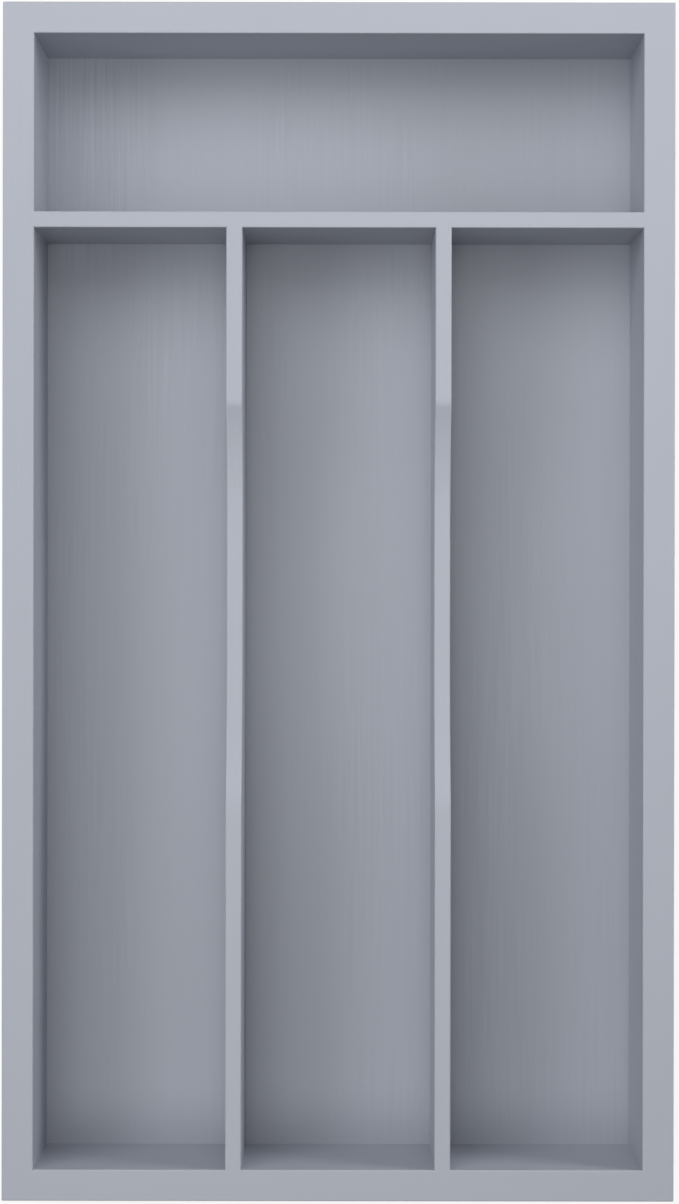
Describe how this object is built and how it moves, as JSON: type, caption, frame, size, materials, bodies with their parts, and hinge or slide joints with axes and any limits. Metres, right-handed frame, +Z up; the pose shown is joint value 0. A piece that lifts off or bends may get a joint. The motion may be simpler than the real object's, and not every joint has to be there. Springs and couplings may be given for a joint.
{
  "type": "cutlery tray",
  "caption": "Grey lacquered wooden cutlery tray for a drawer, with a wide compartment at the rear, long compartments in front of it and finger scoops in the long dividers.",
  "frame": {"origin": "centre of the underside, on the plane of the pads' lower faces", "axes": "+Y runs from the front to the rear, where the wide compartment is, +X to the right seen from the front, +Z up"},
  "size_m": [0.265, 0.4726, 0.055],
  "materials": {
    "frame_lacquer": "satin grey lacquer on wooden boards",
    "divider_lacquer": "satin grey lacquer on thin wooden dividers",
    "panel_lacquer": "satin grey lacquer, the grain of the panel faintly showing",
    "beech": "bare beech",
    "brad_steel": "bright drawn wire",
    "pad_rubber": "soft matt"
  },
  "bodies": {
    "root": {"base_panel": "panel_lacquer", "left_side_board": "frame_lacquer", "right_side_board": "frame_lacquer", "front_board": "frame_lacquer", "rear_board": "frame_lacquer", "cross_divider": "divider_lacquer", "left_long_divider": "divider_lacquer", "right_long_divider": "divider_lacquer", "front_left_dowels": "beech", "front_right_dowels": "beech", "rear_left_dowels": "beech", "rear_right_dowels": "beech", "cross_divider_brads": "brad_steel", "left_divider_brads": "brad_steel", "right_divider_brads": "brad_steel", "front_left_pad": "pad_rubber", "middle_left_pad": "pad_rubber", "rear_left_pad": "pad_rubber", "front_right_pad": "pad_rubber", "middle_right_pad": "pad_rubber", "rear_right_pad": "pad_rubber"}
  },
  "joints": []
}
